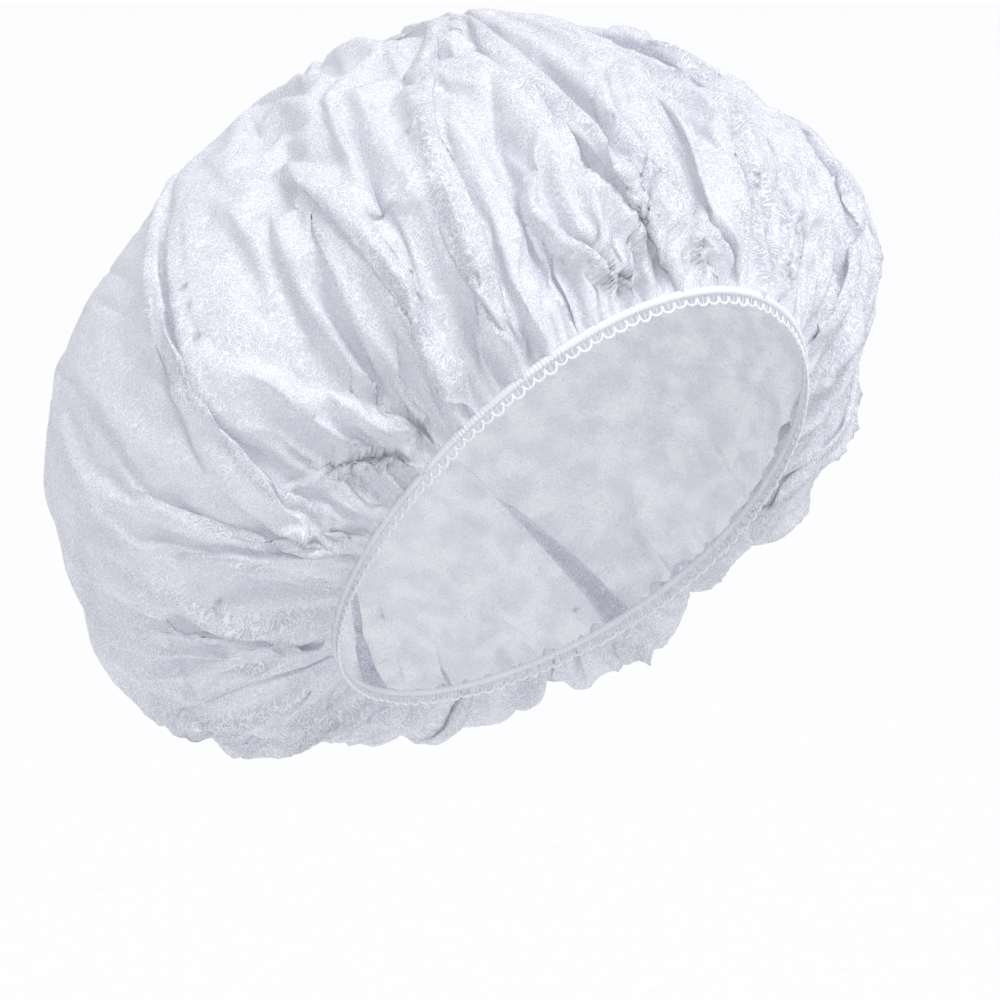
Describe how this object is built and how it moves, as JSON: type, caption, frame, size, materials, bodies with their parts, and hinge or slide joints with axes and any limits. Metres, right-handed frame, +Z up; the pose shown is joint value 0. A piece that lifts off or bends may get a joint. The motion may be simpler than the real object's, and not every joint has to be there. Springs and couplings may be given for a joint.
{
  "type": "disposable bouffant cap",
  "caption": "Gathered bag of thin nonwoven cloth on an elastic band with a scalloped edge, worn over the hair.",
  "frame": {"origin": "the middle of the elastic opening, where the head enters", "axes": "-Y toward the face, +Z up as worn, +X toward the wearer's left; the head leaves along the opening's axis, down and forward"},
  "size_m": [0.2834, 0.2685, 0.2529],
  "materials": {
    "nonwoven_cloth": "matte, thin, slightly see-through",
    "elastic": "smooth hem over elastic",
    "edging_thread": "glossy looped thread"
  },
  "bodies": {
    "root": {"crown": "nonwoven_cloth", "elastic_band": "elastic", "scalloped_edge": "edging_thread"}
  },
  "joints": []
}
